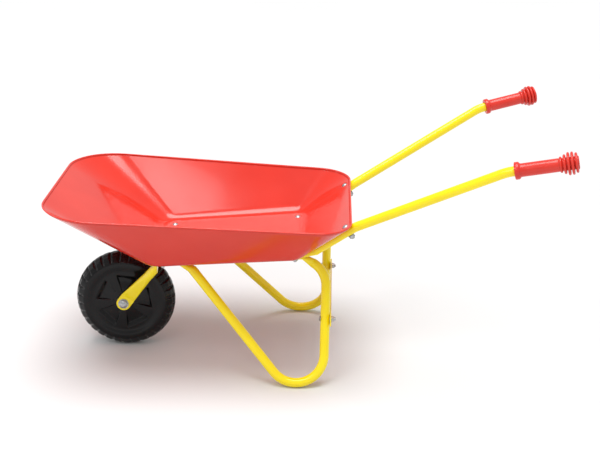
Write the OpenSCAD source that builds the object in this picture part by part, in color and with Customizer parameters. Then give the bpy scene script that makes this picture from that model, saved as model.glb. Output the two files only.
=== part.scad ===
// Child's wheelbarrow: pressed sheet tray, bent tube frame, moulded wheel.
// The front (wheel end) points to -X, the handles to +X and up is +Z.
// The right-hand parts lie at +Y and the left-hand parts mirror them.

/* [Wheel] */
// Diameter over the tread
wheel_d = 166; // [150:1:172]
// Width of the wheel over its side faces
wheel_w = 42; // [34:1:44]
// Diameter of the axle bolt
axle_d = 8; // [6:0.5:10]
// Number of tread lugs on each side
lug_count = 32; // [24:1:38]
// Depth of the grooves between the lugs
lug_depth = 3; // [1:0.5:3.5]
// Width of the grooves between the lugs
lug_gap = 3.5; // [2.5:0.5:5]

/* [Tray] */
// Length of the rim from front to rear
rim_l = 483; // [450:1:510]
// Distance of the front rim ahead of the axle
rim_overhang = 109; // [95:1:125]
// Width across the rim at its front
rim_w_front = 368; // [330:1:400]
// Width across the rim at its rear
rim_w_rear = 332; // [310:1:366]
// Height of the rim at the front
rim_z_front = 283; // [270:1:310]
// Height of the rim at the rear
rim_z_rear = 265; // [255:1:275]
// Corner radius of the rim at the front
rim_r_front = 85; // [50:1:100]
// Corner radius of the rim at the rear
rim_r_rear = 58; // [40:1:58]
// Distance from the front rim back to the floor
front_slope_l = 159; // [145:1:170]
// Distance from the floor forward of the rear rim
rear_slope_l = 82; // [74:1:90]
// Width of the floor at its front
floor_w_front = 226; // [210:1:250]
// Width of the floor at its rear
floor_w_rear = 238; // [225:1:260]
// Height of the floor at its front
floor_z_front = 182.7; // [178:0.1:188]
// Height of the floor at its rear
floor_z_rear = 203.5; // [198:0.1:208]
// Corner radius of the floor at the front
floor_r_front = 26; // [10:1:40]
// Corner radius of the floor at the rear
floor_r_rear = 12; // [8:1:20]
// Thickness of the sheet, measured upright
sheet_t = 1.2; // [0.8:0.1:1.6]
// Depth of the hem folded inwards along the rim
hem_h = 4; // [3:1:10]

/* [Tubes] */
// Outer diameter of every frame tube
tube_d = 15; // [12:0.5:16]
// Wall thickness of the frame tubes
tube_wall = 1.2; // [0.8:0.1:1.5]
// Width of the flattened tube ends
flat_w = 20; // [18:0.5:24]
// Thickness of the flattened tube ends
flat_t = 2.4; // [2:0.1:3]

/* [Handles] */
// Distance of the upper handle bend behind the axle
handle_bend_x = 594; // [570:1:620]
// Distance of the upper handle bend from the middle plane
handle_bend_y = 184.5; // [150:0.5:200]
// Height of the upper handle bend
handle_bend_z = 377; // [350:1:400]
// Slope of the grips above the horizontal, in degrees
grip_rise = 13; // [5:1:20]
// Angle by which the grips point outwards, in degrees
grip_splay = 10.5; // [4:0.5:16]
// Distance from the upper bend to the start of the grip
grip_start = 11; // [9:1:20]
// Length of a grip
grip_l = 92; // [80:1:110]
// Diameter of the plain part of a grip
grip_d = 20; // [19:0.5:24]
// Diameter of the collar at the start of a grip
grip_collar_d = 26; // [24:1:32]
// Diameter of the widest rib of a grip
grip_rib_d = 34; // [28:1:38]

/* [Legs] */
// Distance of the upright tube behind the axle
leg_x = 336; // [325:1:345]
// Distance of the foot from the middle plane
leg_foot_y = 149; // [130:1:165]
// Outward lean of the legs from the vertical, in degrees
leg_lean = 20.3; // [12:0.1:24]
// Angle between the two tubes of a leg, in degrees
leg_angle = 40; // [36:1:42]
// Bend radius of the foot
leg_foot_r = 45; // [38:1:48]
// Bend radius at the top of the upright
leg_top_r = 42; // [36:1:46]
// Height of the brace above the ground
brace_z = 104; // [80:1:130]
// Width of the flat brace bar
brace_w = 16; // [12:1:20]
// Thickness of the flat brace bar
brace_t = 2; // [1.5:0.5:4]

/* [Fork] */
// Clear gap between the two fork ends
fork_gap = 55; // [52:1:60]
// Width of the pressed fork ends
fork_end_w = 23.5; // [18:0.5:24]

/* [Fasteners] */
// Diameter of the frame bolts
bolt_d = 5; // [4:0.5:6]
// Diameter of the domed bolt heads
head_d = 10; // [8:0.5:12]
// Height of the domed bolt heads
head_h = 2.6; // [1.5:0.1:4]
// Width across the flats of the frame nuts
nut_af = 8; // [7:0.5:10]
// Height of the frame nuts
nut_h = 4; // [3:0.5:6]
// Thickness of every washer
washer_t = 1; // [0.8:0.1:1.6]
// Distance of the front floor bolts behind the axle
front_bolt_x = 74; // [70:1:84]
// Distance of the front floor bolts from the middle plane
front_bolt_y = 83; // [76:1:90]
// Distance of the rear floor bolts behind the axle
rear_bolt_x = 285; // [278:1:286]
// Distance of the rear floor bolts from the middle plane
rear_bolt_y = 88; // [80:1:96]
// Distance of the rear wall bolts behind the axle
wall_bolt_x = 363; // [345:1:366]
// Distance of the rear wall bolts from the middle plane
wall_bolt_y = 104; // [96:1:106]

/* [Hidden] */
$fn = 48;
// Fits and small gaps
seat_gap = 0.1;       // between a round tube and a piece that lies against it
hole_clearance = 0.3; // around a bolt in its hole, on the radius
thread_clearance = 0.05;
grip_fit = 0.05;
axle_running = 0.06;  // around the axle bolt in the hub bushes, on the radius
side_play = 0.4;      // between a hub bush and its spacer
sliver = 0.2;         // thickness of the slices that a flattening starts from
step = 0.3;           // how far those slices lie inside the surfaces they join
ring_proud = 0.05;    // how far a seam ring stands out from its tube
seam = 0.1;           // between a straight run of tube and its bend
over = 1;             // how far a cutter runs past the face it opens

// Tube, wheel and axle
tube_r = tube_d / 2;
bore_r = tube_r - tube_wall;
wheel_r = wheel_d / 2;
axle_r = axle_d / 2;
bolt_r = bolt_d / 2;
hole_r = bolt_r + hole_clearance;
axle_hole_r = axle_r + hole_clearance;

// Tray: the walls run straight from the floor outline to the rim outline
rim_x0 = -rim_overhang;
rim_x1 = rim_x0 + rim_l;
floor_x0 = rim_x0 + front_slope_l;
floor_x1 = rim_x1 - rear_slope_l;
corner_steps = 12;
ring_n = 4 * (corner_steps + 1);
floor_slope = atan((floor_z_rear - floor_z_front) / (floor_x1 - floor_x0));
wall_slope = atan((rim_z_rear - floor_z_rear) / rear_slope_l);
function floor_z(x) = floor_z_front + tan(floor_slope) * (x - floor_x0);
function rim_z(x) = rim_z_front + (rim_z_rear - rim_z_front) * (x - rim_x0) / rim_l;
function wall_z(x) = floor_z_rear + tan(wall_slope) * (x - floor_x1);
floor_drop = sheet_t * cos(floor_slope);
wall_drop = sheet_t * cos(wall_slope);

// Grip ribs, counted from the plain part to the end
rib_count = 5;
rib_pitch = 5.6;
rib_w = 3.8;
rib_bevel = 1;
rib_drops = [5, 2.5, 0, 0, 2]; // how far each rib stays under the widest one
rib_start = grip_l - rib_count * rib_pitch;
rib_radii = [for (drop = rib_drops) grip_rib_d / 2 - drop];
last_rib_r = rib_radii[rib_count - 1];
last_rib_s = grip_l - rib_pitch + rib_w - rib_bevel;
valley_depth = 0.4;
valley_r = grip_d / 2 - valley_depth;
collar_t = 8;
end_step = 5;    // from the last rib in to the end face
grip_end_t = 14; // plastic beyond the end of the tube

// Whole part: the origin is under the middle of its length, on the ground
grip_dir = [cos(grip_rise) * cos(grip_splay), cos(grip_rise) * sin(grip_splay), sin(grip_rise)];
handle_bend = [handle_bend_x, handle_bend_y, handle_bend_z];
grip_tip_x = handle_bend_x + grip_dir.x * (grip_start + last_rib_s) + last_rib_r * sqrt(1 - pow(grip_dir.x, 2));
middle_x = (rim_x0 + grip_tip_x) / 2;

// Handle tube: it lies under the rear wall, then bends up towards the grip
function handle_y(x) = wall_bolt_y + handle_toe * (x - wall_bolt_x);
handle_toe = (wall_bolt_y - rear_bolt_y) / (wall_bolt_x - rear_bolt_x);
function under_wall(x) = [x, handle_y(x), wall_z(x) - sheet_t - (tube_r + seat_gap) / cos(wall_slope)];
handle_flare_l = 25; // from the rear edge of the floor to the full round tube
handle_past_rim = 4; // from the rim to the corner of the lower bend
handle_low = under_wall(floor_x1 + handle_flare_l);
handle_rim = under_wall(rim_x1 + handle_past_rim);
handle_tip = handle_bend + grip_dir * (grip_start + grip_l - grip_end_t);

// Leg: drawn in its leaning plane, x along the ground and s up the plane from the foot
foot_z = tube_r;
function leg_pt(x, s) = [x, leg_foot_y - s * sin(leg_lean), foot_z + s * cos(leg_lean)];
leg_corner_s = -(leg_foot_r / sin(leg_angle / 2) * cos(leg_angle / 2) - leg_foot_r);
function leg_brace_x(s) = leg_x - tan(leg_angle) * (s - leg_corner_s);
leg_top_turn = 60;
leg_top_tangent = leg_top_r * tan(leg_top_turn / 2);
leg_top_rise = 11.6;    // the upper corner above the bend that just meets the floor
leg_front_drop = 11;  // the end of the slanted tube below the floor
leg_rear_run = 1.15;  // straight tube after the top bend
leg_top_s = (floor_z_rear - foot_z) / cos(leg_lean) - leg_top_r + leg_top_rise;
leg_front_s = (floor_z_front - foot_z) / cos(leg_lean) - leg_front_drop;
leg_front = leg_pt(leg_brace_x(leg_front_s), leg_front_s);
leg_foot = leg_pt(leg_x, leg_corner_s);
leg_top = leg_pt(leg_x, leg_top_s);
leg_rear = leg_pt(leg_x - (leg_top_tangent + leg_rear_run) * sin(leg_top_turn),
                  leg_top_s + (leg_top_tangent + leg_rear_run) * cos(leg_top_turn));
brace_s = (brace_z - foot_z) / cos(leg_lean);
brace_y = leg_foot_y - brace_s * sin(leg_lean);
brace_x = leg_x + tube_r + seat_gap;
brace_margin = 4; // metal beyond the round of each brace end
brace_l = 2 * brace_y + brace_w + 2 * brace_margin;

// Fork arm: a flat end on the axle, a round tube, a flat end under the floor
fork_y = fork_gap / 2;
fork_top_from_bolt = [15, 7, 21]; // the round tube's end ahead of, inside and below its bolt
fork_top = [front_bolt_x, front_bolt_y, floor_z(front_bolt_x)] - fork_top_from_bolt;
fork_low_part = [0.84, 0.82, 0.84]; // where the round tube starts, as parts of the way up from the axle
fork_low = [fork_low_part.x * fork_top.x,
            fork_y + fork_low_part.y * (fork_top.y - fork_y),
            wheel_r + fork_low_part.z * (fork_top.z - wheel_r)];
fork_pitch = atan2(fork_low.z - wheel_r, fork_low.x);
fork_flat_l = 13;

// Wheel: two moulded halves that meet on the middle plane
half_w = wheel_w / 2;
groove_floor_t = 2.5; // plastic left under a groove
tread_wall = lug_depth + groove_floor_t;
groove_start = 5;     // grooves stay this far off the middle plane
shoulder_r = 10;
face_r = wheel_r - shoulder_r;
side_ring_w = 9;      // flat ring between the shoulder and the dish
dish_r = face_r - side_ring_w;
dish_depth = 2.5;
dish_slope = 3;       // width of the slope round the dish
boss_r = 13;
boss_taper = 1;
bush_r = 7;
bush_flange_r = 10;
bush_flange_t = 1.5;
bush_l = 16;
hub_proud = 1;
hub_face = half_w + hub_proud;
spacer_start = hub_face + bush_flange_t + side_play;
pocket_count = 5;
pocket_angle = 48;
pocket_turn = 278;    // where the first pocket is
pocket_depth = 2.4;
pocket_in = boss_r + 7;
pocket_out = dish_r - 18;
web_t = 1.6;          // plastic left under a pocket
web_in = half_w - dish_depth - pocket_depth - web_t;

// Axle bolt
axle_head_af = 13;
axle_head_h = 5;
axle_nut_h = 7;
axle_washer_r = 8.5;
axle_washer_t = 1.2;
spacer_r = 6;
fork_face = fork_y + flat_t;
drain_r = 1.5;
axle_head_dome = 0.4;

red = "#d8382c";
grip_red = "#d92b20";
yellow = "#efcf1a";
zinc = "#b9bcc0";
black = "#202124";
nylon = "#2b2b2e";

// ---- placing and mirroring ----

// Moves the axle-based drawing so that the origin is the middle of the whole part
module placed() {
    translate([-middle_x, 0, 0]) children();
}

module left_side() {
    mirror([0, 1, 0]) children();
}

module both_sides() {
    children();
    left_side() children();
}

// Local x runs back along the floor and local z leaves its upper face
module on_floor(x, y) {
    translate([x, y, floor_z(x)]) rotate([0, -floor_slope, 0]) children();
}

// The same on the sloping rear wall
module on_wall(x, y) {
    translate([x, y, wall_z(x)]) rotate([0, -wall_slope, 0]) children();
}

// Turns local z to +Y, for what sits on the axle
module along_axle() {
    translate([0, 0, wheel_r]) rotate([-90, 0, 0]) children();
}

// ---- bent tubes ----

function unit(v) = v / norm(v);
function turn(u, v) = acos(max(-1, min(1, u * v)));
function run_dir(p, i) = unit(p[i + 1] - p[i]);
function cut_back(p, radii, i) =
    (i == 0 || i == len(p) - 1) ? 0 : radii[i] * tan(turn(run_dir(p, i - 1), run_dir(p, i)) / 2);

module rod(a, b, r) {
    d = b - a;
    translate(a) rotate([0, acos(d.z / norm(d)), atan2(d.y, d.x)]) cylinder(h = norm(d), r = r);
}

// A round disc of sliver thickness, centred on a point and square to a direction
module slice(p, d, r) {
    a = unit(d) * sliver / 2;
    rod(p - a, p + a, r);
}

// One bend of a tube around corner p, from direction u to direction v
module tube_bend(p, u, v, bend_r, r) {
    angle = turn(u, v);
    side = unit(v - u * (u * v));
    up = cross(-side, u);
    c = p - u * bend_r * tan(angle / 2) + side * bend_r;
    multmatrix([[-side.x, u.x, up.x, c.x],
                [-side.y, u.y, up.y, c.y],
                [-side.z, u.z, up.z, c.z]])
        rotate_extrude(angle = angle) translate([bend_r, 0]) circle(r);
}

// Straight runs between the corner points, joined by round bends. Each run stops just short
// of its bend, and a ring a hair wider than the tube closes the seam.
module tube_run(p, radii, r) {
    for (i = [0 : len(p) - 2]) {
        d = run_dir(p, i);
        from = p[i] + d * (cut_back(p, radii, i) + (i == 0 ? 0 : seam));
        to = p[i + 1] - d * (cut_back(p, radii, i + 1) + (i == len(p) - 2 ? 0 : seam));
        rod(from, to, r);
        if (i > 0) rod(from - d * 3 * seam, from + d * seam, r + ring_proud);
        if (i < len(p) - 2) rod(to - d * seam, to + d * 3 * seam, r + ring_proud);
    }
    for (i = [1 : len(p) - 2])
        tube_bend(p[i], run_dir(p, i - 1), run_dir(p, i), radii[i], r);
}

// The outline of a flattened tube end: round at the bolt, straight towards the tube
module flat_outline(l, w = flat_w) {
    circle(d = w);
    translate([0, -w / 2]) square([l, w]);
}

// ---- fasteners, each drawn on local z with the seat of its head at zero ----

module domed_head(d, h) {
    r = d / 2;
    ball = (r * r + h * h) / (2 * h);
    intersection() {
        translate([0, 0, h - ball]) sphere(ball);
        cylinder(h = h, r = r);
    }
}

// A bolt, washer and nut that clamp a stack of the given thickness
module frame_bolt(stack) {
    l = stack + washer_t + nut_h + bolt_spare;
    domed_head(head_d, head_h);
    translate([0, 0, -l]) cylinder(h = l, r = bolt_r);
}

module hex_nut(af, h, r) {
    difference() {
        cylinder(h = h, d = af / cos(30), $fn = 6);
        translate([0, 0, -over]) cylinder(h = h + 2 * over, r = r + thread_clearance);
    }
}

module washer(r_out, r_in, t) {
    difference() {
        cylinder(h = t, r = r_out);
        translate([0, 0, -over]) cylinder(h = t + 2 * over, r = r_in);
    }
}

module frame_washer(stack) {
    translate([0, 0, -stack - washer_t]) washer(head_d / 2, hole_r, washer_t);
}

module frame_nut(stack) {
    translate([0, 0, -stack - washer_t - nut_h]) hex_nut(nut_af, nut_h, bolt_r);
}

// ---- tray ----

// Corner of an outline: an arc from angle a0 to a1
function arc(cx, cy, r, a0, a1) =
    [for (i = [0 : corner_steps]) let (a = a0 + (a1 - a0) * i / corner_steps) [cx + r * cos(a), cy + r * sin(a)]];

// Rounded outline that tapers from width w0 at x0 to width w1 at x1
function outline(x0, x1, w0, w1, r0, r1) =
    let (taper = atan((w0 - w1) / 2 / (x1 - x0)),
         lean = 90 - taper,
         c0 = x0 + r0,
         c1 = x1 - r1,
         y0 = w0 / 2 - tan(taper) * r0 - r0 / cos(taper),
         y1 = w1 / 2 + tan(taper) * r1 - r1 / cos(taper))
    concat(arc(c1, y1, r1, 0, lean), arc(c0, y0, r0, lean, 180),
           arc(c0, -y0, r0, 180, 360 - lean), arc(c1, -y1, r1, 360 - lean, 360));

rim_line = [for (p = outline(rim_x0, rim_x1, rim_w_front, rim_w_rear, rim_r_front, rim_r_rear))
            [p.x, p.y, rim_z(p.x)]];
floor_line = [for (p = outline(floor_x0, floor_x1, floor_w_front, floor_w_rear, floor_r_front, floor_r_rear))
              [p.x, p.y, floor_z(p.x)]];
hem_part = hem_h / (rim_z_front - floor_z_front);

// The floor is a flat slab set into the shell, so that its upper face is one true plane
floor_set = 0.2;  // how far the shell lies below the slab
floor_t = 0.7;    // thickness of the slab
floor_edge = 0.7; // how far the slab runs into the walls
floor_outline = [for (p = outline(floor_x0 - floor_edge, floor_x1 + floor_edge,
                                  floor_w_front + 2 * floor_edge, floor_w_rear + 2 * floor_edge,
                                  floor_r_front + floor_edge, floor_r_rear + floor_edge))
                 [(p.x - floor_x0) / cos(floor_slope), p.y]];

// A ring of the wall surface: part 0 is the floor edge and part 1 the rim
function wall_ring(part, lift) =
    [for (i = [0 : ring_n - 1]) floor_line[i] + (rim_line[i] - floor_line[i]) * part + [0, 0, lift]];
tray_rings = [wall_ring(0, -sheet_t), wall_ring(1, -sheet_t), wall_ring(1, sheet_t),
              wall_ring(1 - hem_part, sheet_t), wall_ring(1 - hem_part, 0), wall_ring(0, -floor_set)];
tray_points = [for (ring = tray_rings) for (p = ring) p];
function at(ring, i) = ring * ring_n + i % ring_n;
tray_faces = concat(
    [[for (i = [0 : ring_n - 1]) at(0, i)]],
    [for (k = [0 : len(tray_rings) - 2]) for (i = [0 : ring_n - 1]) [at(k, i), at(k + 1, i), at(k + 1, i + 1)]],
    [for (k = [0 : len(tray_rings) - 2]) for (i = [0 : ring_n - 1]) [at(k, i), at(k + 1, i + 1), at(k, i + 1)]],
    [[for (i = [0 : ring_n - 1]) at(len(tray_rings) - 1, ring_n - 1 - i)]]);

module bolt_hole() {
    translate([0, 0, -2 * tube_d]) cylinder(h = 3 * tube_d, r = hole_r);
}

module tray() {
    color(red) placed() difference() {
        union() {
            polyhedron(points = tray_points, faces = tray_faces);
            on_floor(floor_x0, 0) translate([0, 0, -floor_t]) linear_extrude(floor_t) polygon(floor_outline);
        }
        both_sides() {
            on_floor(front_bolt_x, front_bolt_y) bolt_hole();
            on_floor(rear_bolt_x, rear_bolt_y) bolt_hole();
            on_wall(wall_bolt_x, wall_bolt_y) bolt_hole();
        }
    }
}

// ---- handles ----

handle_points = [handle_low, handle_rim, handle_bend, handle_tip];
handle_hollow = [handle_low, handle_rim, handle_bend, handle_tip + grip_dir * over];
handle_radii = [0, 60, 60, 0];
handle_flat_past = 3; // flat metal behind the rear edge of the floor
handle_flat_l = floor_x1 + handle_flat_past - rear_bolt_x;
handle_plan = atan(handle_toe);

// A flattened end under the floor, as the given layer below the sheet
module floor_flat(x, y, plan, l, layer) {
    on_floor(x, y) rotate([0, 0, plan]) translate([0, 0, -floor_drop - (layer + 1) * flat_t])
        linear_extrude(flat_t) flat_outline(l);
}

// The slice of that end from which the tube starts to open out
module floor_flat_slice(x, y, plan, l, layer) {
    on_floor(x, y) rotate([0, 0, plan])
        translate([l - sliver - step, -flat_w / 2 + step, -floor_drop - (layer + 1) * flat_t + step])
            cube([sliver, flat_w - 2 * step, flat_t - 2 * step]);
}

module handle_tube() {
    color(yellow) placed() difference() {
        union() {
            tube_run(handle_points, handle_radii, tube_r);
            floor_flat(rear_bolt_x, rear_bolt_y, handle_plan, handle_flat_l, 0);
            hull($fn = 32) {
                slice(handle_low + run_dir(handle_points, 0) * sliver, run_dir(handle_points, 0), tube_r - step);
                floor_flat_slice(rear_bolt_x, rear_bolt_y, handle_plan, handle_flat_l, 0);
            }
        }
        tube_run(handle_hollow, handle_radii, bore_r);
        on_floor(rear_bolt_x, rear_bolt_y) bolt_hole();
        on_wall(wall_bolt_x, wall_bolt_y) bolt_hole();
    }
}

module handle_tube_right() {
    handle_tube();
}

module handle_tube_left() {
    left_side() handle_tube();
}

// Outline of a grip: radius against distance from its start
rib_outline = [for (i = [0 : rib_count - 1]) let (s = rib_start + i * rib_pitch, r = rib_radii[i])
    each [[valley_r, s], [r - rib_bevel, s], [r, s + rib_bevel],
          [r, s + rib_w - rib_bevel], [r - rib_bevel, s + rib_w], [valley_r, s + rib_w]]];
grip_end_r = last_rib_r - end_step;
grip_outline = concat(
    [[0, 0], [grip_collar_d / 2 - rib_bevel, 0], [grip_collar_d / 2, rib_bevel],
     [grip_collar_d / 2, collar_t - 2 * rib_bevel], [grip_collar_d / 2 - 2 * rib_bevel, collar_t],
     [grip_d / 2, collar_t + rib_bevel], [grip_d / 2, rib_start - rib_bevel]],
    rib_outline,
    [[grip_end_r, grip_l - rib_bevel], [grip_end_r - 2 * rib_bevel, grip_l], [0, grip_l]]);

module grip() {
    color(grip_red) placed() difference() {
        translate(handle_bend + grip_dir * grip_start)
            rotate([0, 90 - grip_rise, grip_splay]) rotate_extrude() polygon(grip_outline);
        rod(handle_bend + grip_dir * (grip_start - over), handle_tip + grip_dir * seat_gap, tube_r + grip_fit);
    }
}

module grip_right() {
    grip();
}

module grip_left() {
    left_side() grip();
}

// ---- legs ----

leg_points = [leg_front, leg_foot, leg_top, leg_rear];
leg_radii = [0, leg_foot_r, leg_top_r, 0];
leg_front_flat_l = 24;
leg_rear_flat_l = 12;

module leg() {
    color(yellow) placed() difference() {
        union() {
            tube_run(leg_points, leg_radii, tube_r);
            floor_flat(front_bolt_x, front_bolt_y, 0, leg_front_flat_l, 0);
            floor_flat(rear_bolt_x, rear_bolt_y, 0, leg_rear_flat_l, 1);
            hull($fn = 32) {
                slice(leg_front + run_dir(leg_points, 0) * sliver, run_dir(leg_points, 0), tube_r - step);
                floor_flat_slice(front_bolt_x, front_bolt_y, 0, leg_front_flat_l, 0);
            }
            hull($fn = 32) {
                slice(leg_rear - run_dir(leg_points, 2) * sliver, run_dir(leg_points, 2), tube_r - step);
                floor_flat_slice(rear_bolt_x, rear_bolt_y, 0, leg_rear_flat_l, 1);
            }
        }
        tube_run(leg_points, leg_radii, bore_r);
        on_floor(front_bolt_x, front_bolt_y) bolt_hole();
        on_floor(rear_bolt_x, rear_bolt_y) bolt_hole();
        translate([leg_x, brace_y, brace_z]) rotate([0, 90, 0])
            cylinder(h = 2 * tube_d, r = hole_r, center = true);
    }
}

module leg_right() {
    leg();
}

module leg_left() {
    left_side() leg();
}

module leg_brace() {
    color(yellow) placed() difference() {
        translate([brace_x, -brace_l / 2, brace_z - brace_w / 2]) cube([brace_t, brace_l, brace_w]);
        both_sides() translate([brace_x, brace_y, brace_z]) rotate([0, 90, 0])
            cylinder(h = 4 * brace_t, r = hole_r, center = true);
    }
}

// ---- fork ----

fork_dir = unit(fork_top - fork_low);
fork_plan = 180;
fork_top_flat_l = 8;

module fork_flat(shrink) {
    translate([0, fork_face - shrink, wheel_r]) rotate([0, -fork_pitch, 0]) rotate([90, 0, 0])
        linear_extrude(flat_t - 2 * shrink) children();
}

module fork_arm() {
    color(yellow) placed() difference() {
        union() {
            rod(fork_low, fork_top, tube_r);
            fork_flat(0) flat_outline(fork_flat_l, fork_end_w);
            floor_flat(front_bolt_x, front_bolt_y, fork_plan, fork_top_flat_l, 1);
            hull($fn = 32) {
                slice(fork_low + fork_dir * sliver, fork_dir, tube_r - step);
                fork_flat(step) translate([fork_flat_l - sliver - step, -fork_end_w / 2 + step])
                    square([sliver, fork_end_w - 2 * step]);
            }
            hull($fn = 32) {
                slice(fork_top - fork_dir * sliver, fork_dir, tube_r - step);
                floor_flat_slice(front_bolt_x, front_bolt_y, fork_plan, fork_top_flat_l, 1);
            }
        }
        rod(fork_low, fork_top, bore_r);
        translate((fork_low + fork_top) / 2) rotate([0, 90, 0]) cylinder(h = tube_d, r = drain_r);
        along_axle() cylinder(h = 2 * fork_face, r = axle_hole_r);
        on_floor(front_bolt_x, front_bolt_y) bolt_hole();
    }
}

module fork_arm_right() {
    fork_arm();
}

module fork_arm_left() {
    left_side() fork_arm();
}

// ---- wheel ----

// Quarter-round shoulder between the side face and the tread
shoulder_steps = 6;
shoulder = [for (i = [0 : shoulder_steps]) let (a = 90 - 90 * i / shoulder_steps)
    [face_r + shoulder_r * cos(a), half_w - shoulder_r + shoulder_r * sin(a)]];

half_outline = concat(
    [[bush_r, 0], [bush_r, hub_face], [boss_r, hub_face], [boss_r + boss_taper, half_w - dish_depth],
     [dish_r, half_w - dish_depth], [dish_r + dish_slope, half_w]],
    shoulder,
    [[wheel_r, 0], [wheel_r - tread_wall, 0],
     [wheel_r - tread_wall, web_in - shoulder_r / 2], [face_r - shoulder_r / 2, web_in],
     [boss_r + boss_taper, web_in], [boss_r + boss_taper, 0]]);

module lug_grooves() {
    for (i = [0 : lug_count - 1]) rotate([0, 0, 360 * (i + 0.5) / lug_count])
        translate([wheel_r - lug_depth, -lug_gap / 2, groove_start]) cube([2 * lug_depth, lug_gap, wheel_w]);
}

module face_pockets() {
    for (i = [0 : pocket_count - 1]) rotate([0, 0, pocket_turn + 360 * i / pocket_count - pocket_angle / 2])
        translate([0, 0, half_w - dish_depth - pocket_depth])
            rotate_extrude(angle = pocket_angle) translate([pocket_in, 0])
                square([pocket_out - pocket_in, 2 * pocket_depth]);
}

module wheel_half() {
    color(black) placed() along_axle() difference() {
        rotate_extrude() polygon(half_outline);
        lug_grooves();
        face_pockets();
    }
}

module wheel_half_right() {
    wheel_half();
}

module wheel_half_left() {
    left_side() wheel_half();
}

module hub_bush() {
    color(nylon) placed() along_axle() difference() {
        union() {
            translate([0, 0, hub_face - bush_l]) cylinder(h = bush_l, r = bush_r);
            translate([0, 0, hub_face]) cylinder(h = bush_flange_t, r = bush_flange_r);
        }
        cylinder(h = wheel_w, r = axle_r + axle_running);
    }
}

module hub_bush_right() {
    hub_bush();
}

module hub_bush_left() {
    left_side() hub_bush();
}

// ---- axle ----

axle_head_seat = fork_face + axle_washer_t;
axle_spare = 3; // thread beyond the nut
axle_l = 2 * axle_head_seat + axle_nut_h + axle_spare;

module axle_bolt() {
    color(zinc) placed() left_side() along_axle() {
        translate([0, 0, axle_head_seat - axle_l]) cylinder(h = axle_l, r = axle_r);
        translate([0, 0, axle_head_seat]) intersection() {
            cylinder(h = axle_head_h, d = axle_head_af / cos(30), $fn = 6);
            translate([0, 0, -axle_head_h]) sphere(2 * axle_head_h + axle_head_dome);
        }
    }
}

module axle_nut() {
    color(zinc) placed() along_axle() translate([0, 0, axle_head_seat])
        hex_nut(axle_head_af, axle_nut_h, axle_r);
}

module axle_washers() {
    color(zinc) placed() both_sides() along_axle() translate([0, 0, fork_face])
        washer(axle_washer_r, axle_hole_r, axle_washer_t);
}

module axle_spacer() {
    color(zinc) placed() along_axle() translate([0, 0, spacer_start])
        washer(spacer_r, axle_hole_r, fork_y - spacer_start);
}

module axle_spacer_right() {
    axle_spacer();
}

module axle_spacer_left() {
    left_side() axle_spacer();
}

// ---- bolts through the floor, the rear wall and the brace ----

floor_stack = floor_drop + 2 * flat_t;
wall_stack = wall_drop + 2 * tube_r + 2 * seat_gap;
brace_stack = tube_d + 2 * seat_gap + brace_t;
bolt_spare = 2;

module floor_bolt_pair(x, y) {
    color(zinc) placed() both_sides() on_floor(x, y) children();
}

module front_floor_bolts() {
    floor_bolt_pair(front_bolt_x, front_bolt_y) frame_bolt(floor_stack);
}

module front_floor_washers() {
    floor_bolt_pair(front_bolt_x, front_bolt_y) frame_washer(floor_stack);
}

module front_floor_nuts() {
    floor_bolt_pair(front_bolt_x, front_bolt_y) frame_nut(floor_stack);
}

module rear_floor_bolts() {
    floor_bolt_pair(rear_bolt_x, rear_bolt_y) frame_bolt(floor_stack);
}

module rear_floor_washers() {
    floor_bolt_pair(rear_bolt_x, rear_bolt_y) frame_washer(floor_stack);
}

module rear_floor_nuts() {
    floor_bolt_pair(rear_bolt_x, rear_bolt_y) frame_nut(floor_stack);
}

module wall_bolt_pair() {
    color(zinc) placed() both_sides() on_wall(wall_bolt_x, wall_bolt_y) children();
}

module rear_wall_bolts() {
    wall_bolt_pair() frame_bolt(wall_stack);
}

module rear_wall_washers() {
    wall_bolt_pair() frame_washer(wall_stack);
}

module rear_wall_nuts() {
    wall_bolt_pair() frame_nut(wall_stack);
}

// Local z points forward, away from the front of the upright tubes
module brace_bolt_pair() {
    color(zinc) placed() both_sides() translate([leg_x - tube_r - seat_gap, brace_y, brace_z])
        rotate([0, -90, 0]) children();
}

module brace_bolts() {
    brace_bolt_pair() frame_bolt(brace_stack);
}

module brace_washers() {
    brace_bolt_pair() frame_washer(brace_stack);
}

module brace_nuts() {
    brace_bolt_pair() frame_nut(brace_stack);
}

tray();
handle_tube_left();
handle_tube_right();
grip_left();
grip_right();
leg_left();
leg_right();
leg_brace();
fork_arm_left();
fork_arm_right();
wheel_half_left();
wheel_half_right();
hub_bush_left();
hub_bush_right();
axle_bolt();
axle_nut();
axle_washers();
axle_spacer_left();
axle_spacer_right();
front_floor_bolts();
front_floor_washers();
front_floor_nuts();
rear_floor_bolts();
rear_floor_washers();
rear_floor_nuts();
rear_wall_bolts();
rear_wall_washers();
rear_wall_nuts();
brace_bolts();
brace_washers();
brace_nuts();
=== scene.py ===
# %% [markdown]
# # A child's wheelbarrow
# The barrow is a pressed red sheet tray on a frame of bent yellow tube, with two red
# plastic grips and one black moulded wheel. The sizes and joints were settled in CAD,
# and this lesson dresses that model: it builds the finer shapes over it, mixes the
# finishes, and sets up a small studio.

# %% Load the CAD model
import math

import bpy
import bmesh
from mathutils import Matrix, Vector


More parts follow.
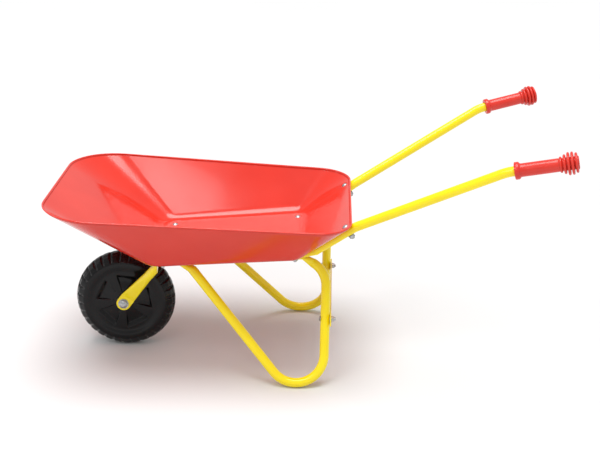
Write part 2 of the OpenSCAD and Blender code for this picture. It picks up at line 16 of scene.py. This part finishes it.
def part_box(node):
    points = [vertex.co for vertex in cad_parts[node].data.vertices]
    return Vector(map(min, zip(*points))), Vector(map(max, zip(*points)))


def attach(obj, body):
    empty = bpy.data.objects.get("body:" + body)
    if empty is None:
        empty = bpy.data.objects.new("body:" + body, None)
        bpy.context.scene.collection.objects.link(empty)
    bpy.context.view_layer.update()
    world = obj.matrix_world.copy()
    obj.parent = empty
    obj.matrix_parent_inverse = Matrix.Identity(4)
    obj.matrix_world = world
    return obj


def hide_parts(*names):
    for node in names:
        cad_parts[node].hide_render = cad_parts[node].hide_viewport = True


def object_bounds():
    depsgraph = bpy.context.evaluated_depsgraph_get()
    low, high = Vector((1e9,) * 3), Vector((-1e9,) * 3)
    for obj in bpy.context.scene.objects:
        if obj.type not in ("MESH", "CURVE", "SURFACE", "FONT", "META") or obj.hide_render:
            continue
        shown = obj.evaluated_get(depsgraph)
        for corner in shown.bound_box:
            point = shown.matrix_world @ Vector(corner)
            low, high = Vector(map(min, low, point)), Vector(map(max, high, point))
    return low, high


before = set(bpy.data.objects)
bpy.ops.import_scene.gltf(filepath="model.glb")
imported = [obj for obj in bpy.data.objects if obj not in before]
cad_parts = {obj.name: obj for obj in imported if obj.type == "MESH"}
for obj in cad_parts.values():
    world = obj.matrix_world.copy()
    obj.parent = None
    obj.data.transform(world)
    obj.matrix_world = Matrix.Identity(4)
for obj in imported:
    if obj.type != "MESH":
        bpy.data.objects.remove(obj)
cad_low, cad_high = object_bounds()
scene = bpy.context.scene
print("CAD box in mm:", [round(1000 * v) for v in (*cad_low, *cad_high)])

# %% [markdown]
# ## The camera
# A barrow on sale is shown from a little above and almost square to its side, with a
# long lens, so that its lines stay nearly parallel. The camera is placed by the point it
# looks at, how far it is tipped and turned, and how far back it stands. A matrix of three
# axes says the same thing as three rotations, and is easier to read here.

# %% Place the camera
LENS_MM = 71.82
TIP, TURN, ROLL = (math.radians(a) for a in (20.02, 1.28, 1.09))
LOOK_AT = Vector((-0.00185, 0.0, 0.2198))
STAND_BACK = 1.969

forward = Vector((-math.sin(TURN) * math.cos(TIP), math.cos(TURN) * math.cos(TIP), -math.sin(TIP)))
level = Vector((math.cos(TURN), math.sin(TURN), 0.0))
upright = level.cross(forward)
cam_x = math.cos(ROLL) * level + math.sin(ROLL) * upright
cam_y = -math.sin(ROLL) * level + math.cos(ROLL) * upright
camera = bpy.data.objects.new("camera", bpy.data.cameras.new("camera"))
camera.data.lens = LENS_MM
camera.data.sensor_width = 36.0
camera.matrix_world = (Matrix.Translation(LOOK_AT - forward * STAND_BACK)
                       @ Matrix((cam_x, cam_y, -forward)).transposed().to_4x4())
scene.collection.objects.link(camera)
scene.camera = camera
print("camera at", [round(v, 3) for v in camera.matrix_world.translation])

# %% [markdown]
# ## Helpers for meshes
# Most pieces here are skins made of rings: a row of points that goes round once, then the
# next row, with a four-sided face between each two neighbours. A tray, a wheel, a grip and
# a bolt head can all be said that way, and the faces stay even, which gloss needs.

# %% A skin from rings
def to_object(name, verts, faces, finish, slot, body):
    mesh = bpy.data.meshes.new(name)
    mesh.from_pydata([tuple(v) for v in verts], [], faces)
    bm = bmesh.new()
    bm.from_mesh(mesh)
    bmesh.ops.remove_doubles(bm, verts=bm.verts, dist=1e-6)
    bmesh.ops.recalc_face_normals(bm, faces=bm.faces)
    bm.to_mesh(mesh)
    bm.free()
    mesh.shade_smooth()
    piece = bpy.data.objects.new(name, mesh)
    scene.collection.objects.link(piece)
    piece.data.materials.append(finish)
    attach(piece, body)
    print(f"{name}: {len(mesh.polygons)} faces")
    return piece


def ring_skin(rings, cap_first=True, cap_last=True, closed=False):
    n = len(rings[0])
    verts = [p for ring in rings for p in ring]
    faces = []
    for k in range(len(rings) if closed else len(rings) - 1):
        a, b = k * n, (k + 1) % len(rings) * n
        for i in range(n):
            j = (i + 1) % n
            faces.append((a + i, a + j, b + j, b + i))
    if cap_first and not closed:
        faces.append(tuple(range(n))[::-1])
    if cap_last and not closed:
        last = (len(rings) - 1) * n
        faces.append(tuple(range(last, last + n)))
    return verts, faces


def smooth_step(low, high, x):
    t = min(1.0, max(0.0, (x - low) / (high - low)))
    return t * t * (3.0 - 2.0 * t)


# %% [markdown]
# ## Helpers for finishes
# A finish is a short chain of nodes. Soft noise mixes two close tones, a second noise moves
# the roughness a little, and fine noise lifts the surface as a bump. All of them read the
# object's own coordinates, which are metres here, so a size in the script is a real size.

# %% Build one finish from sizes in metres
SPECK_SIZE = 0.0011
SPECKS_START, SPECKS_FULL = 0.60, 0.74


def add_node(tree, kind, **inputs):
    node = tree.nodes.new(kind)
    for key, value in inputs.items():
        node.inputs[key.replace("_", " ")].default_value = value
    return node


def soft_noise(tree, size, detail=3.0, stretch=(1.0, 1.0, 1.0)):
    where = tree.nodes.new("ShaderNodeTexCoord")
    scale = tree.nodes.new("ShaderNodeMapping")
    scale.inputs["Scale"].default_value = stretch
    noise = add_node(tree, "ShaderNodeTexNoise", Scale=1.0 / size, Detail=detail)
    tree.links.new(where.outputs["Object"], scale.inputs["Vector"])
    tree.links.new(scale.outputs["Vector"], noise.inputs["Vector"])
    return noise.outputs["Fac"]


def between(tree, value, low, high, from_low=0.3, from_high=0.7):
    ranged = tree.nodes.new("ShaderNodeMapRange")
    ranged.inputs["From Min"].default_value = from_low
    ranged.inputs["From Max"].default_value = from_high
    ranged.inputs["To Min"].default_value = low
    ranged.inputs["To Max"].default_value = high
    tree.links.new(value, ranged.inputs["Value"])
    return ranged.outputs["Result"]


def mix_colours(tree, share, first, second):
    mix = tree.nodes.new("ShaderNodeMix")
    mix.data_type = "RGBA"
    tree.links.new(share, mix.inputs["Factor"])
    for socket, value in ((mix.inputs[6], first), (mix.inputs[7], second)):
        if isinstance(value, tuple):
            socket.default_value = (*value, 1.0)
        else:
            tree.links.new(value, socket)
    return mix.outputs[2]


def new_finish(name, tones, patch, gloss, relief, metal=0.0, coat=0.0, coat_gloss=0.05,
               dust=None, stretch=(1.0, 1.0, 1.0), shine=0.5):
    """tones: two colours; patch: size of their patches; gloss: least and most roughness;
    relief: (size, height) pairs; dust: (colour, share) that settles in small specks;
    shine: how much the bare surface mirrors, 0.5 for most plastics."""
    finish = bpy.data.materials.new(name)
    finish.use_nodes = True
    tree = finish.node_tree
    shader = tree.nodes["Principled BSDF"]
    shader.inputs["Metallic"].default_value = metal
    shader.inputs["Specular IOR Level"].default_value = shine
    shader.inputs["Coat Weight"].default_value = coat
    shader.inputs["Coat Roughness"].default_value = coat_gloss
    share = between(tree, soft_noise(tree, patch, 4.0), 0.0, 1.0)
    colour = mix_colours(tree, share, *tones)
    if dust:
        specks = between(tree, soft_noise(tree, SPECK_SIZE, 2.0), 0.0, dust[1], SPECKS_START,
                         SPECKS_FULL)
        colour = mix_colours(tree, specks, colour, dust[0])
    tree.links.new(colour, shader.inputs["Base Color"])
    smears = soft_noise(tree, patch * 0.4, 5.0, stretch)
    tree.links.new(between(tree, smears, *gloss), shader.inputs["Roughness"])
    lifted = None
    for size, height in relief:
        bump = add_node(tree, "ShaderNodeBump", Strength=1.0, Distance=height)
        tree.links.new(soft_noise(tree, size, 2.0), bump.inputs["Height"])
        if lifted:
            tree.links.new(lifted, bump.inputs["Normal"])
        lifted = bump.outputs["Normal"]
    tree.links.new(lifted, shader.inputs["Normal"])
    print("finish", name)
    return finish


# %% [markdown]
# ## The finishes
# The tray and the tubes are powder coated: a thick, glossy skin of plastic baked on the
# steel, with the faint ripple that painters call orange peel. The sheet under it is never
# quite flat either, so a second, far wider and lower ripple bends the reflections. The
# grips are glossy soft plastic, the wheel is harder and nearly black, and the bolts are
# grey zinc with a fine crystal grain. Painting such variation by hand would need pictures
# wrapped on every piece. Noise in the nodes needs none and has no seams.

# %% Mix the finishes
MM = 0.001
tray_paint = new_finish("tray_paint", ((0.63, 0.024, 0.011), (0.70, 0.031, 0.014)), 0.11,
                        (0.13, 0.20), ((0.045, 0.10 * MM), (0.0016, 0.0035 * MM)),
                        coat=0.18, dust=((0.52, 0.07, 0.04), 0.08), shine=0.45)
frame_paint = new_finish("frame_paint", ((0.90, 0.70, 0.002), (0.95, 0.77, 0.004)), 0.05,
                         (0.16, 0.25), ((0.0016, 0.004 * MM), (0.00035, 0.0008 * MM)),
                         coat=0.15, dust=((0.62, 0.47, 0.03), 0.08), shine=0.4)
grip_plastic = new_finish("grip_plastic", ((0.62, 0.026, 0.015), (0.70, 0.036, 0.021)), 0.03,
                          (0.18, 0.27), ((0.0022, 0.006 * MM), (0.0004, 0.0015 * MM)),
                          dust=((0.50, 0.07, 0.05), 0.10), shine=0.45)
wheel_plastic = new_finish("wheel_plastic", ((0.003, 0.003, 0.0033), (0.0055, 0.0055, 0.006)), 0.03,
                           (0.13, 0.21), ((0.004, 0.006 * MM), (0.0006, 0.0015 * MM)),
                           dust=((0.06, 0.06, 0.06), 0.08), shine=0.24)
bush_plastic = new_finish("bush_plastic", ((0.016, 0.016, 0.018), (0.030, 0.030, 0.034)), 0.01,
                          (0.40, 0.55), ((0.0008, 0.010 * MM),))
zinc = new_finish("zinc", ((0.36, 0.37, 0.38), (0.50, 0.51, 0.52)), 0.0025,
                  (0.26, 0.42), ((0.0012, 0.010 * MM), (0.0003, 0.004 * MM)), metal=1.0,
                  stretch=(1.0, 4.0, 1.0))

# %% [markdown]
# ## The frame keeps its CAD shape
# The tubes are round, bent round a die and flattened in a press where a bolt goes through.
# The CAD model already has exactly that, so those nodes stay and take the new finishes.
# Their meshes are never touched: a finish is laid on, and the name of a node says which.

# %% Give each CAD node its finish
def node_finish(name):
    if name.startswith(("handle_tube", "leg_", "fork_arm")):
        return frame_paint
    for start, finish in (("tray", tray_paint), ("grip", grip_plastic), ("wheel", wheel_plastic),
                          ("hub_bush", bush_plastic)):
        if name.startswith(start):
            return finish
    return zinc


for name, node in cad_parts.items():
    node.data.materials.clear()
    node.data.materials.append(node_finish(name))
print(len(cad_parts), "nodes dressed")

# %% [markdown]
# ## The tray
# A tray like this is one sheet, pressed over a block: a flat floor, four flat walls that
# lean out, and cone-shaped corners between them. The bend round the floor is soft, because
# steel won't fold to a knife edge. Along the rim the sheet is folded in on itself, which
# makes it stiff and hides the raw edge.
#
# A plan outline is drawn twice, at the floor and at the rim, with the same number of points,
# and straight lines between the two give walls and corners at once.

# %% Outlines of floor and rim
tray_low, tray_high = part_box("tray")
wheel_low, wheel_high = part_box("wheel_half_left")
AXLE = Vector(((wheel_low.x + wheel_high.x) / 2, 0.0, (wheel_low.z + wheel_high.z) / 2))

FRONT_SLOPE, REAR_SLOPE = 0.159, 0.082
RIM_X = (tray_low.x, tray_high.x)
FLOOR_X = (tray_low.x + FRONT_SLOPE, tray_high.x - REAR_SLOPE)
RIM_WIDTH, FLOOR_WIDTH = (0.368, 0.332), (0.226, 0.238)
RIM_HEIGHT, FLOOR_HEIGHT = (0.283, 0.265), (0.1827, 0.2035)
RIM_ROUND, FLOOR_ROUND = (0.085, 0.058), (0.026, 0.012)
CORNER_STEPS, SIDE_STEPS = 20, 14


def rounded_outline(x, width, roundness):
    """Points round a tapering, round-cornered outline, with the outward direction at each."""
    taper = math.atan((width[0] - width[1]) / 2 / (x[1] - x[0]))
    lean = math.pi / 2 - taper
    front, rear = roundness
    front_y = width[0] / 2 - math.tan(taper) * front - front / math.cos(taper)
    rear_y = width[1] / 2 + math.tan(taper) * rear - rear / math.cos(taper)
    full = 2 * math.pi
    corners = ((x[1] - rear, rear_y, rear, 0.0, lean),
               (x[0] + front, front_y, front, lean, math.pi),
               (x[0] + front, -front_y, front, math.pi, full - lean),
               (x[1] - rear, -rear_y, rear, full - lean, full))
    arcs = []
    for cx, cy, r, a0, a1 in corners:
        angles = [a0 + (a1 - a0) * i / CORNER_STEPS for i in range(CORNER_STEPS + 1)]
        arcs.append([((cx + r * math.cos(a), cy + r * math.sin(a)), a) for a in angles])
    points = []
    for arc, following in zip(arcs, arcs[1:] + arcs[:1]):
        points += arc
        (p, angle), (q, _) = arc[-1], following[0]
        for i in range(1, SIDE_STEPS):
            t = i / SIDE_STEPS
            points.append(((p[0] + (q[0] - p[0]) * t, p[1] + (q[1] - p[1]) * t), angle))
    return points


def on_slope(point, x, height):
    share = (point[0] - x[0]) / (x[1] - x[0])
    return Vector((point[0], point[1], height[0] + (height[1] - height[0]) * share))


floor_line = rounded_outline(FLOOR_X, FLOOR_WIDTH, FLOOR_ROUND)
rim_line = rounded_outline(RIM_X, RIM_WIDTH, RIM_ROUND)
print("points round the tray:", len(rim_line))

# %% [markdown]
# Each point of the outline now gets its own little profile of the sheet: across the floor,
# round the soft bend, up the wall, over the folded hem and back down the outside. The bend
# climbs further up the wall than it reaches over the floor. Joining the profiles of all the
# points gives the whole tray, with a true thickness. A Solidify modifier on one thin skin
# would thicken it too, but it couldn't make the hem.

# %% Profile of the sheet at each point
SHEET = 1.1 * MM
BEND_ON_FLOOR, BEND_ON_WALL = 6.5 * MM, 14.0 * MM
BEAD = 1.3 * MM
HEM = 2.6 * MM
BEND_STEPS = 7
EDGE_STEPS = 5
HOLD = 1.5 * MM
floor_up = Vector((-(FLOOR_HEIGHT[1] - FLOOR_HEIGHT[0]), 0.0, FLOOR_X[1] - FLOOR_X[0])).normalized()


def sheet_profile(i):
    """Points from the middle of the floor to the rim and back, at outline point i."""
    (floor_point, angle), (rim_point, _) = floor_line[i], rim_line[i]
    foot = on_slope(floor_point, FLOOR_X, FLOOR_HEIGHT)
    rim = on_slope(rim_point, RIM_X, RIM_HEIGHT)
    wall = (rim - foot).normalized()
    out = Vector((math.cos(angle), math.sin(angle), 0.0))
    across = (out - floor_up * out.dot(floor_up)).normalized()
    along = Vector((-math.sin(angle), math.cos(angle), 0.0))
    inward = wall.cross(along).normalized()
    if inward.z < 0:
        inward = -inward
    rim = rim - wall * BEAD + inward * BEAD * 0.5
    inner = [(foot - across * (BEND_ON_FLOOR + HOLD), floor_up)]
    for k in range(BEND_STEPS + 1):
        t = k / BEND_STEPS
        point = foot - across * BEND_ON_FLOOR * (1 - t) ** 2 + wall * BEND_ON_WALL * t * t
        run = across * BEND_ON_FLOOR * (1 - t) + wall * BEND_ON_WALL * t
        normal = run.cross(along).normalized()
        inner.append((point, normal if normal.z > 0 else -normal))
    length = (rim - foot).length
    for share in (BEND_ON_WALL + HOLD, 0.4 * length, 0.6 * length, 0.8 * length,
                  length - HEM - HOLD, length - HEM - 0.1 * MM):
        inner.append((foot + wall * share, inward))
    hem = [rim - wall * (HEM - 0.3 * MM) + inward * SHEET * 0.3,
           rim - wall * (HEM - 0.8 * MM) + inward * SHEET * 0.6,
           rim - wall * (HEM - 1.5 * MM) + inward * SHEET * 0.9,
           rim - wall * 0.6 * MM + inward * SHEET * 1.1]
    for k in range(EDGE_STEPS + 1):
        a = math.pi * k / EDGE_STEPS
        hem.append(rim + inward * BEAD * math.cos(a) + wall * BEAD * math.sin(a))
    outer = [rim - wall * 1.2 * MM - inward * SHEET * 0.9,
             rim - wall * 2.0 * MM - inward * SHEET * 0.75]
    outer += [point - normal * SHEET for point, normal in reversed(inner)]
    return [point for point, _ in inner] + hem + outer


profiles = [sheet_profile(i) for i in range(len(rim_line))]
tray_rings = [[profile[k] for profile in profiles] for k in range(len(profiles[0]))]
tray = to_object("tray_sheet", *ring_skin(tray_rings), tray_paint, "tray_paint", "frame")
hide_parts("tray")

# %% [markdown]
# ## The wheel
# The wheel is moulded in hard plastic as two shells, welded on the middle line. Every part
# of its shape belongs to the mould: the flat side with five sunk pockets that leave spokes
# between them, the side that swells gently into a rounded shoulder, and the row of lugs
# that wraps over the shoulder onto the tread. The lugs could be cut with Boolean tools, but
# that leaves knife edges and uneven faces.
#
# One shell is a profile turned round the axle. At each angle the profile is pushed in where
# a groove or a pocket is, with soft edges, as a mould tool would leave them.

# %% Profile of a wheel shell
LUGS = 32
STEPS_PER_LUG = 14
ANGLE_STEPS = LUGS * STEPS_PER_LUG
NICK_DEPTH, GROOVE_DEPTH = 0.4 * MM, 2.0 * MM
POCKETS = 5
POCKET_DEPTH = 4.4 * MM
POCKET_EDGE_R, POCKET_END_R = 44.0 * MM, 52.0 * MM
POCKET_TURN = math.radians(82)
POCKET_HALF = math.radians(24)


def wheel_profile():
    """(radius, distance from the middle plane) pairs, from the bush out to the tread."""
    points = [(7.0, 21.9), (11.6, 21.9), (12.6, 21.6), (13.0, 20.9), (13.6, 19.3), (14.6, 18.7)]
    points += [(15.5 + 1.1 * k, 18.5) for k in range(33)]
    points += [(50.7 + 1.25 * k, 18.5 + 2.5 * smooth_step(0, 11, k)) for k in range(12)]
    points += [(66.5 + 6.0 * math.sin(math.radians(a)), 15.0 + 6.0 * math.cos(math.radians(a)))
               for a in range(0, 37, 4)]
    points += [(70.03 + 1.4 * k, 19.85 - 1.01 * k) for k in range(1, 5)]
    points += [(72.6 + 7.5 * math.sin(math.radians(a)), 8.7 + 7.5 * math.cos(math.radians(a)))
               for a in range(38, 86, 8)]
    points += [(81.0, 8.3), (81.9, 7.0), (82.45, 5.5), (82.75, 3.8), (82.85, 2.2), (83.0, 0.0)]
    return [(r * MM, w * MM) for r, w in points]


def groove_depth(r, w, angle):
    """How far a tread groove is sunk here: full over the shoulder, none on the flat side."""
    pitch = 2 * math.pi / LUGS
    off = abs((angle / pitch) % 1.0 - 0.5) * pitch * r
    reach = smooth_step(68.0 * MM, 80.0 * MM, r)
    across = 1.0 - smooth_step((0.3 + 0.6 * reach) * MM, (1.6 + 1.2 * reach) * MM, off)
    nick = smooth_step(67.5 * MM, 70.0 * MM, r) * NICK_DEPTH
    return (nick + GROOVE_DEPTH * reach) * across * smooth_step(2.6 * MM, 4.6 * MM, w)


def pocket_depth(r, angle):
    """How far the side is sunk: nothing at the hub, most just inside the outer edge."""
    pitch = 2 * math.pi / POCKETS
    off = abs((angle - POCKET_TURN + pitch / 2) % pitch - pitch / 2)
    edge = (POCKET_HALF - off) * r
    chord = POCKET_EDGE_R * math.cos(POCKET_HALF) / math.cos(min(off, POCKET_HALF))
    inside = smooth_step(0.0, 1.8 * MM, edge) * smooth_step(-6.0 * MM, 1.5 * MM, chord - r)
    return POCKET_DEPTH * inside * smooth_step(13.0 * MM, 42.0 * MM, r)


def wheel_shell(side):
    profile = wheel_profile()
    rings = []
    for k, (r, w) in enumerate(profile):
        before, after = profile[max(0, k - 1)], profile[min(len(profile) - 1, k + 1)]
        run = Vector((after[0] - before[0], after[1] - before[1])).normalized()
        out_r, out_w = -run.y, run.x
        ring = []
        for i in range(ANGLE_STEPS):
            a = 2 * math.pi * i / ANGLE_STEPS
            sink = groove_depth(r, w, a)
            dip = pocket_depth(r, a) if r < POCKET_END_R else 0.0
            radius, width = r - out_r * sink, w - out_w * sink - dip
            ring.append(AXLE + Vector((radius * math.cos(a), side * width, radius * math.sin(a))))
        rings.append(ring)
    return rings


for side, name in ((-1, "left"), (1, "right")):
    shell_rings = wheel_shell(side)
    bore = [Vector((p.x, 0.0, p.z)) for p in shell_rings[0]]
    shell = to_object(f"wheel_shell_{name}", *ring_skin([bore] + shell_rings, False, False),
                      wheel_plastic, "wheel_plastic", "wheel")
    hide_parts(f"wheel_half_{name}")

# %% [markdown]
# ## The grips
# A grip is a soft plastic sleeve pulled over the end of the tube. It starts with a collar
# that stops the thumb, then a plain part, then five ribs that swell towards the end. It is
# a turned shape, so one outline and one axis say it all. Each rib is a half circle here, as
# a turned mould gives it, and not a stack of bevels.

# %% Outline and axis of a grip
grip_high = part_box("grip_right")[1]
GRIP_RISE, GRIP_SPLAY = math.radians(13), math.radians(10.5)
GRIP_LENGTH, GRIP_R, COLLAR_R = 92.0 * MM, 10.0 * MM, 13.0 * MM
RIB_PITCH, RIB_W, VALLEY_R = 5.6 * MM, 3.9 * MM, 9.6 * MM
RIB_RADII = (12.0, 14.5, 17.0, 17.0, 15.0)
MOUTH_R = 7.6 * MM
ROUND_STEPS = 6
GRIP_SIDES = 56


def grip_outline():
    """(distance from the start, radius) pairs from the tube's mouth to the closed end."""
    lip = 1.0 * MM
    points = [(6.0 * MM, MOUTH_R), (0.5 * MM, MOUTH_R), (0.0, 8.2 * MM), (0.0, COLLAR_R - lip),
              (0.3 * lip, COLLAR_R - 0.3 * lip), (lip, COLLAR_R), (5.6 * MM, COLLAR_R),
              (6.6 * MM, COLLAR_R - 0.5 * lip), (7.6 * MM, GRIP_R + 1.2 * MM),
              (8.6 * MM, GRIP_R + 0.3 * MM),
              (10.0 * MM, GRIP_R)]
    ribs_start = GRIP_LENGTH - len(RIB_RADII) * RIB_PITCH
    points += [(10.0 * MM + (ribs_start - 12.0 * MM) * k / 6, GRIP_R) for k in range(1, 7)]
    for k, rib_r in enumerate(RIB_RADII):
        start = ribs_start + k * RIB_PITCH
        half = RIB_W / 2
        points.append((start, VALLEY_R))
        for j in range(ROUND_STEPS + 1):
            a = math.pi * j / ROUND_STEPS
            points.append((start + half - half * math.cos(a),
                           rib_r * MM - half + half * math.sin(a)))
        points.append((start + RIB_W, VALLEY_R))
    points += [(GRIP_LENGTH - 1.4 * MM, 10.0 * MM), (GRIP_LENGTH - 0.5 * MM, 9.6 * MM),
               (GRIP_LENGTH, 8.4 * MM), (GRIP_LENGTH, 4.0 * MM), (GRIP_LENGTH - 0.4 * MM, 2.0 * MM)]
    return points


def make_grip(side, name):
    axis = Vector((math.cos(GRIP_RISE) * math.cos(GRIP_SPLAY),
                   math.cos(GRIP_RISE) * math.sin(GRIP_SPLAY), math.sin(GRIP_RISE)))
    # The start is placed so that the turned shape just reaches the CAD grip's high corner.
    start = Vector([high - max(along * way + r * math.sqrt(1 - way * way)
                               for along, r in grip_outline())
                    for high, way in zip(grip_high, axis)])
    flat = axis.cross(Vector((0, 0, 1))).normalized()
    rise = flat.cross(axis)
    rings = []
    for along, r in grip_outline():
        ring = []
        for i in range(GRIP_SIDES):
            a = 2 * math.pi * i / GRIP_SIDES
            p = start + axis * along + flat * r * math.cos(a) + rise * r * math.sin(a)
            ring.append(Vector((p.x, side * p.y, p.z)))
        rings.append(ring)
    grip = to_object(f"grip_sleeve_{name}", *ring_skin(rings, False, True), grip_plastic,
                     "grip_plastic", "frame")
    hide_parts(f"grip_{name}")
    return start


print("grip starts at mm", [round(1000 * v, 1) for v in make_grip(1, "right")])
make_grip(-1, "left")

# %% [markdown]
# ## Studio
# The room has a plain pale floor. It is grey paper in bright light, because a truly white
# sheet would throw so much light back up that the tray's underside lost its shade. It
# reaches far out and its rings get closer near the barrow.

# %% Floor
FLOOR_REACH = 9.0
FLOOR_RINGS = 40
FLOOR_SIDES = 96
FLOOR_DROP = 0.0003
FLOOR_PATCH = 0.6
floor_rings = []
for k in range(1, FLOOR_RINGS + 1):
    r = FLOOR_REACH * (k / FLOOR_RINGS) ** 2
    angles = [2 * math.pi * i / FLOOR_SIDES for i in range(FLOOR_SIDES)]
    floor_rings.append([Vector((r * math.cos(a), r * math.sin(a), cad_low.z - FLOOR_DROP))
                        for a in angles])
floor_verts, floor_faces = ring_skin(floor_rings, True, False)
floor_mesh = bpy.data.meshes.new("studio_floor")
floor_mesh.from_pydata([tuple(v) for v in floor_verts], [], floor_faces)
studio_floor = bpy.data.objects.new("studio_floor", floor_mesh)
scene.collection.objects.link(studio_floor)
floor_finish = new_finish("studio_floor", ((0.66, 0.66, 0.66), (0.68, 0.68, 0.68)), FLOOR_PATCH,
                          (0.75, 0.85), ((0.003, 0.01 * MM),))
floor_mesh.materials.append(floor_finish)
print("floor rings:", len(floor_rings))

# %% [markdown]
# ## Lights
# Even white light comes from all round, and a broad soft ceiling adds the difference between
# the bright inside of the tray and its shaded outside. Soft boxes are for gloss: one hangs
# above and behind the viewer, where the far wall of the tray mirrors it as a pale patch, and
# two smaller ones stand at the wheel's side, for highlights on black plastic. A single lamp
# would be simpler, but its shadow would be hard and glossy paint would show one white dot.

# %% Lights
CEILING_POWER = 2.6
CEILING_SPREAD = math.radians(40)
CEILING_TILT = (math.radians(2), math.radians(-2), 0.0)
scene.view_settings.view_transform = "Standard"
world = bpy.data.worlds.new("studio")
world.use_nodes = True
world.node_tree.nodes["Background"].inputs["Color"].default_value = (1.0, 1.0, 1.0, 1.0)
world.node_tree.nodes["Background"].inputs["Strength"].default_value = 0.68
scene.world = world


def soft_box(name, place, target, width, height, watts):
    light = bpy.data.lights.new(name, "AREA")
    light.shape = "RECTANGLE"
    light.size, light.size_y, light.energy = width, height, watts
    holder = bpy.data.objects.new(name, light)
    holder.location = place
    holder.rotation_euler = (Vector(target) - Vector(place)).to_track_quat("-Z", "Y").to_euler()
    scene.collection.objects.link(holder)
    print(name, watts, "W")


soft_box("mirror_box", (-0.72, -1.02, 1.6), (-0.2, 0.15, 0.24), 0.62, 0.5, 5.0)
soft_box("front_box", (-1.9, -0.3, 0.7), (-0.25, 0.0, 0.15), 0.4, 0.9, 2.0)
soft_box("wheel_box", (-0.55, -1.5, 1.25), (-0.29, 0.0, 0.12), 0.5, 0.12, 1.2)

ceiling = bpy.data.lights.new("ceiling", "SUN")
ceiling.energy = CEILING_POWER
ceiling.angle = CEILING_SPREAD
ceiling_holder = bpy.data.objects.new("ceiling", ceiling)
ceiling_holder.rotation_euler = CEILING_TILT
scene.collection.objects.link(ceiling_holder)
